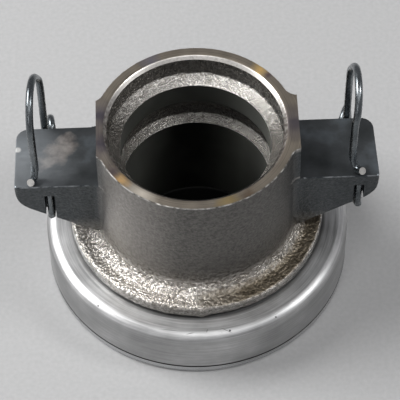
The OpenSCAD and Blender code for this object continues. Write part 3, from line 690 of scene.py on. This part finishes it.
# Satin turned steel sheet: pale grey, with fine lines round it that stretch its highlights, painted brighter
# on faces that look up, a painted light, darker beside the flange with painted shade and dirt, and a few dark
# nicks and scratches on the shoulder. A nick has its place and reach, and a scratch its place, turn and
# length. Real lines and scratches are a hair thin, so they are drawn coarser here, to show.
NICKS = [(-34.5, -36.9, 20.2, 0.6), (9.2, -48.7, 20.3, 0.45),
         (6.5, -49.2, 20, 0.35), (24.8, -43.9, 20.1, 0.45)]
SCRATCHES = [(-10.6, -47.8, -10, 8.5), (8.0, -48.6, -24, 4.8), (-4, -49.3, 8, 3.5), (1.6, -48.6, 70, 1.6)]
SCRATCH_W, DIRT_SHADE_W, LINE_TURN = 0.3, 1.3, 1.2
sheet, tree, at = start_material(
    "steel_sheet_satin_turned", metallic=1.0, anisotropic=0.35, anisotropic_rotation=0.25)
flat = add(tree, "ShaderNodeVectorMath", {0: at, 1: (1.0, 1.0, 0.0)}, operation="MULTIPLY")
radius = add(tree, "ShaderNodeVectorMath", {0: flat.outputs[0]}, operation="LENGTH").outputs["Value"]
place = add(tree, "ShaderNodeSeparateXYZ", {"Vector": at}).outputs
angle = add(tree, "ShaderNodeMath", {0: place["Y"], 1: place["X"]}, operation="ARCTAN2")
round_about = add(tree, "ShaderNodeMath", {0: angle.outputs[0], 1: LINE_TURN * MM}, operation="MULTIPLY")
path = add(tree, "ShaderNodeCombineXYZ", {"X": radius, "Y": place["Z"], "Z": round_about.outputs[0]})
brush = add(tree, "ShaderNodeTexNoise", {
    "Vector": path.outputs[0], "Scale": 1 / (0.5 * MM), "Detail": 4.0, "Roughness": 0.65}).outputs["Fac"]
blotch = add(tree, "ShaderNodeTexNoise", {"Vector": at, "Scale": 1 / (14 * MM), "Detail": 5.0})
streak = add(tree, "ShaderNodeMath", {0: brush, 1: blotch.outputs["Fac"]}, operation="ADD")
facing = add(tree, "ShaderNodeSeparateXYZ", {"Vector": add(tree, "ShaderNodeNewGeometry").outputs["Normal"]})
# Faces that look up are painted brighter: a painted light
on_top = add(tree, "ShaderNodeMapRange", {
    "Value": facing.outputs["Z"], "From Min": 0.2, "From Max": 0.95, "To Max": 0.2})
streak_and_top_light = add(tree, "ShaderNodeMath", {
    0: streak.outputs[0], 1: 0.5, 2: on_top.outputs[0]}, operation="MULTIPLY_ADD")
satin = add(tree, "ShaderNodeValToRGB", {"Fac": streak_and_top_light.outputs[0]},
            [(0.35, "#949494"), (0.55, "#b4b4b4"), (0.8, "#eaeaea")])
# The ring beside the flange is darkened: painted shade together with dirt
dirt_and_shade = add(tree, "ShaderNodeMapRange", {
    "Value": radius, "From Min": (FLANGE_R + DIRT_SHADE_W) * MM, "From Max": FLANGE_R * MM, "To Max": 0.65})
marks = [(dirt_and_shade.outputs[0], "#4b4a49")]
for x, y, z, reach in NICKS:
    away = add(tree, "ShaderNodeVectorMath", {0: at, 1: (x * MM, y * MM, z * MM)}, operation="DISTANCE")
    nick = add(tree, "ShaderNodeMapRange", {
        "Value": away.outputs["Value"], "From Min": reach * MM, "From Max": reach / 2 * MM})
    marks.append((nick.outputs[0], "#3b3b3b"))
for x, y, turn, length in SCRATCHES:
    along = add(tree, "ShaderNodeMapping", {
        "Vector": at, "Location": (x * MM, y * MM, 0), "Rotation": (0, 0, math.radians(turn)),
        "Scale": (length / 2 * MM, SCRATCH_W / 2 * MM, 1.0)}, vector_type="TEXTURE")
    away = add(tree, "ShaderNodeVectorMath", {0: along.outputs[0]}, operation="LENGTH")
    scratch = add(tree, "ShaderNodeMapRange", {
        "Value": away.outputs["Value"], "From Min": 1.0, "From Max": 0.4, "To Max": 0.8})
    marks.append((scratch.outputs[0], "#5c5c5c"))
tone = satin.outputs[0]
for share, colour in marks:
    tone = add(tree, "ShaderNodeMix", {0: share, 6: tone, 7: linear(colour)}, data_type="RGBA").outputs[2]
dull = add(tree, "ShaderNodeValToRGB", {"Fac": brush}, [(0.25, 0.38), (0.75, 0.5)])
bump = add(tree, "ShaderNodeBump", {"Height": brush, "Strength": 0.5, "Distance": 0.08 * MM})
turned = add(tree, "ShaderNodeTangent", direction_type="RADIAL", axis="Z")
dress(tree, base_color=tone, roughness=dull.outputs[0], normal=bump.outputs["Normal"],
      tangent=turned.outputs[0])


def sheet_finish(face):
    """Grime and painted shade along the trimmed lower edge, and satin sheet elsewhere."""
    return grime_and_shade if face.center.z < (SHROUD_LOW + LIP) * MM else sheet


paint(shroud, [sheet, grime_and_shade], sheet_finish)
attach(shroud, "outer_ring")
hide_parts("shroud")

# The two clips: each is one length of oil-blued spring wire, hooked in the ear's front slot, run under the
# ear, coiled once behind it, arched over the ear and curled at its tip, where the shears left a pale end.
WIRE_D, WIRE_GAP, ARCH_H, FRONT_LEG_IN = 2.5, 0.25, 32.1, 4.3
COIL_D, COIL_DROP, SLOT_DROP, LEG_FOOT = 7.4, 7.0, 5.0, 2.0
TIP_CURL = [(0.12, 0.2, 0.8), (0.4, 0.7, 0.08), (0.75, 1.3, 0.15), (1, 1.8, 0.62)]
WIRE_STEPS, WIRE_SIDES, WIRE_MERGE_GAP = 8, 24, 0.01
# Slot, then how far along the ear the rise, the arch's crown, its front leg, its tip and its coil's lean lie
CLIPS = [("clip_left", -1, (-SLOT_LEFT, -1.2, 2.15, 2.55, 4.05, 0)),
         ("clip_right", 1, (SLOT_RIGHT, -5, 1.15, -0.15, 2.85, 2.5))]


def clip_line(slot_x, rise, crown, front, tip, lean):
    """Middle line of a clip on the +X side, from the hook in its slot to its curled tip."""
    wire_r = WIRE_D / 2
    slot_y, rise_y = -EAR_Y + wire_r + WIRE_GAP, EAR_Y + wire_r + WIRE_GAP
    rise_x = slot_x + rise
    back_x = rise_x + WIRE_D + WIRE_GAP
    leg_x, tip_run = back_x + front, tip - front
    low = min(under(slot_x), under(rise_x)) - (wire_r + WIRE_GAP) / math.cos(EAR_SLOPE)
    coil_r, coil_z = COIL_D / 2, EAR_Z - COIL_DROP
    front_y = -EAR_Y + FRONT_LEG_IN
    arch_r = (rise_y - front_y) / 2
    arch_z, rest_z = EAR_Z + ARCH_H - arch_r, EAR_Z + wire_r + WIRE_GAP
    points = [(slot_x, slot_y, EAR_Z - SLOT_DROP - WIRE_GAP * 2), (slot_x, slot_y, low + WIRE_D * 2)]
    for a in np.radians([180, 225, 270]):
        points.append((slot_x, slot_y + WIRE_D * (1 + math.cos(a)), low + WIRE_D * (1 + math.sin(a))))
    for a in np.radians([270, 315, 360]):
        points.append((rise_x, rise_y + WIRE_D * (math.cos(a) - 1), low + WIRE_D * (1 + math.sin(a))))
    for a in np.radians(range(180, -181, -36)):
        t = (math.pi - a) / (2 * math.pi)
        x = rise_x + (back_x - rise_x) * t + lean * math.sin(math.pi * t)
        points.append((x, rise_y + coil_r * (1 + math.cos(a)), coil_z + coil_r * math.sin(a)))
    points.append((back_x, rise_y, EAR_Z + LEG_FOOT))
    for a in np.linspace(0, math.pi, 9):
        t = a / math.pi
        x = back_x * (1 - t) * (1 - 2 * t) + (back_x + crown) * 4 * t * (1 - t) + leg_x * t * (2 * t - 1)
        points.append((x, front_y + arch_r * (1 + math.cos(a)), arch_z + arch_r * math.sin(a)))
    points.append((leg_x, front_y, rest_z + WIRE_D * 2))
    for out, forward, high in TIP_CURL:
        points.append((leg_x + tip_run * out, front_y - WIRE_D * forward, rest_z + WIRE_D * high))
    return np.array(points)


def smooth_line(points, steps):
    """A smooth curve through the points, sampled the same number of times between each two."""
    last, line = len(points) - 1, []
    for i in range(last):
        a, b, c, d = (points[min(max(k, 0), last)] for k in (i - 1, i, i + 1, i + 2))
        pull, bow, twist = c - a, 2 * a - 5 * b + 4 * c - d, 3 * b - a - 3 * c + d
        line += [b + 0.5 * (pull * t + bow * t**2 + twist * t**3) for t in np.arange(steps) / steps]
    return line + [points[last]]


# Oil-blued spring steel: dark, glossy slate grey, cloudy from the heat, with fine drawing marks, which are
# drawn coarser than real ones, to show.
blued_wire, tree, at = start_material("spring_steel_oil_blued", metallic=1.0)
heat, drawing = (
    add(tree, "ShaderNodeTexNoise", {"Vector": at, "Scale": 1 / (size * MM), "Detail": 3.0}).outputs["Fac"]
    for size in (8, 0.7))
tone = add(tree, "ShaderNodeValToRGB", {"Fac": heat},
           [(0.3, "#5f6467"), (0.55, "#787d80"), (0.75, "#959a9d")])
dull = add(tree, "ShaderNodeValToRGB", {"Fac": drawing}, [(0.3, 0.2), (0.7, 0.34)])
bump = add(tree, "ShaderNodeBump", {"Height": drawing, "Strength": 0.05, "Distance": 0.03 * MM})
dress(tree, base_color=tone.outputs[0], roughness=dull.outputs[0], normal=bump.outputs["Normal"])
# Sheared spring steel: a pale, dull end where the wire was cut.
sheared_end = mottled_material(
    "spring_steel_sheared", 0.6, 3.0, [(0.3, "#b5b3b0"), (0.7, "#cfcdc9")],
    [(0.3, 0.5), (0.7, 0.7)], metallic=1.0)

# The wire's round section is swept along its route
wire_tree = bpy.data.node_groups.new("drawn_wire", "GeometryNodeTree")
for name, way, kind in (("Geometry", "INPUT", "Geometry"), ("Wire radius", "INPUT", "Float"),
                        ("Sides", "INPUT", "Int"), ("Wire", "INPUT", "Material"),
                        ("Geometry", "OUTPUT", "Geometry")):
    wire_tree.interface.new_socket(name, in_out=way, socket_type="NodeSocket" + kind)
given = add(wire_tree, "NodeGroupInput").outputs
section = add(wire_tree, "GeometryNodeCurvePrimitiveCircle", {
    "Resolution": given["Sides"], "Radius": given["Wire radius"]})
swept = add(wire_tree, "GeometryNodeCurveToMesh", {
    "Curve": given["Geometry"], "Profile Curve": section.outputs["Curve"], "Fill Caps": True})
whole = add(wire_tree, "GeometryNodeRealizeInstances", {"Geometry": swept.outputs["Mesh"]})
dressed = add(wire_tree, "GeometryNodeSetMaterial", {
    "Geometry": whole.outputs["Geometry"], "Material": given["Wire"]})
add(wire_tree, "NodeGroupOutput", {"Geometry": dressed.outputs["Geometry"]})

wire_sizes = {"Wire radius": WIRE_D / 2 * MM, "Sides": WIRE_SIDES, "Wire": blued_wire}
for name, side, stations in CLIPS:
    line = bpy.data.curves.new(name, "CURVE")
    line.dimensions = "3D"
    points = smooth_line(clip_line(*stations), WIRE_STEPS)
    spline = line.splines.new("POLY")
    spline.points.add(len(points) - 1)
    for point, (x, y, z) in zip(spline.points, points):
        point.co = (side * x * MM, (y + EAR_SHIFT) * MM, z * MM, 1)
    route = place_piece(name + "_route", line)
    sweep = route.modifiers.new("drawn_wire", "NODES")
    sweep.node_group = wire_tree
    for item in wire_tree.interface.items_tree:
        if item.name in wire_sizes:
            sweep[item.identifier] = wire_sizes[item.name]
    mesh = plain_mesh(route)
    bpy.data.objects.remove(route)
    close_mesh(mesh, WIRE_MERGE_GAP)
    clip = place_piece(name + "_wire", mesh)
    mesh.materials.append(sheared_end)
    mesh.shade_smooth()
    # Only the two cut ends have more than four corners
    for face in mesh.polygons:
        if len(face.vertices) > 4:
            face.material_index = 1
            face.use_smooth = False
    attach(clip, "carrier")
    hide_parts(name)

# The floor: a pale grey paper sweep with a faint tooth. Under the bore it is painted dark, so that the
# bottom of the bore looks as dark as in the photograph.
FLOOR_W = 6
paper, tree, at = start_material("paper_sweep", roughness=0.9, specular_ior_level=0.1)
tooth = add(tree, "ShaderNodeTexNoise", {"Vector": at, "Scale": 1 / (1.5 * MM), "Detail": 3.0})
from_axis = add(tree, "ShaderNodeVectorMath", {0: at}, operation="LENGTH")
past_bore = add(tree, "ShaderNodeMapRange", {
    "Value": from_axis.outputs["Value"], "From Min": BORE_R * MM, "From Max": SPIGOT_R * MM})
clean = add(tree, "ShaderNodeValToRGB", {"Fac": tooth.outputs["Fac"]}, [(0.3, "#b0b0b0"), (0.7, "#b7b7b7")])
tone = add(tree, "ShaderNodeMix", {
    0: past_bore.outputs[0], 6: linear("#050505"), 7: clean.outputs[0]}, data_type="RGBA")
dress(tree, base_color=tone.outputs[2])
bpy.ops.mesh.primitive_plane_add(size=FLOOR_W)
floor = bpy.context.object
floor.name = "floor"
floor.data.materials.append(paper)

# Studio light: a large soft box on the left, a little behind, weaker ones above the front, on the right and
# low on the left, and a dim room that is dark overhead. Each box has its place, width, depth and power.
LIGHT_AIM = Vector((0, 0, 0.03))
SOFT_BOXES = [
    ("key_left", (-1.0, 0.3, 1.0), 0.8, 0.75, 21.5),
    ("front_left", (-0.55, -0.9, 0.5), 0.3, 0.3, 0.8),
    ("side_right", (0.77, -0.12, 0.92), 0.25, 0.3, 3.4),
    ("top_front", (0, -0.42, 1.16), 0.75, 0.7, 3.1)]
for name, spot, width, depth, power in SOFT_BOXES:
    lamp = bpy.data.lights.new(name, "AREA")
    lamp.shape, lamp.size, lamp.size_y, lamp.energy = "RECTANGLE", width, depth, power
    light = place_piece(name, lamp)
    light.location = spot
    light.rotation_euler = (LIGHT_AIM - Vector(spot)).to_track_quat("-Z", "Y").to_euler()
room = bpy.data.worlds.new("room")
room.use_nodes = True
tree = room.node_tree
sky = add(tree, "ShaderNodeSeparateXYZ", {"Vector": add(tree, "ShaderNodeTexCoord").outputs["Generated"]})
shade = add(tree, "ShaderNodeValToRGB", {"Fac": sky.outputs["Z"]},
            [(0.0, "#868688"), (0.6, "#8e8e91"), (0.84, "#8f8f91"), (0.91, "#0c0c0c")])
tree.links.new(shade.outputs[0], tree.nodes["Background"].inputs["Color"])
bpy.context.scene.world = room
bpy.context.scene.view_settings.view_transform = "Standard"

# The camera: a long lens above the front, turned a little on its axis as in the photograph.
CAMERA_AT, CAMERA_AIM, CAMERA_ROLL = (-8.58, -401.8, 583.5), (1.45, 13.22, 9.12), math.radians(-0.91)
LENS, SENSOR_W, NEAREST, FARTHEST = 180.07, 36.0, 0.01, 20
camera = place_piece("camera", bpy.data.cameras.new("camera"))
camera.data.lens, camera.data.sensor_width = LENS, SENSOR_W
camera.data.clip_start, camera.data.clip_end = NEAREST, FARTHEST
camera.location = Vector(CAMERA_AT) * MM
look = (Vector(CAMERA_AIM) - Vector(CAMERA_AT)).to_track_quat("-Z", "Y").to_matrix().to_4x4()
camera.rotation_euler = (look @ Matrix.Rotation(CAMERA_ROLL, 4, "Z")).to_euler()
bpy.context.scene.camera = camera
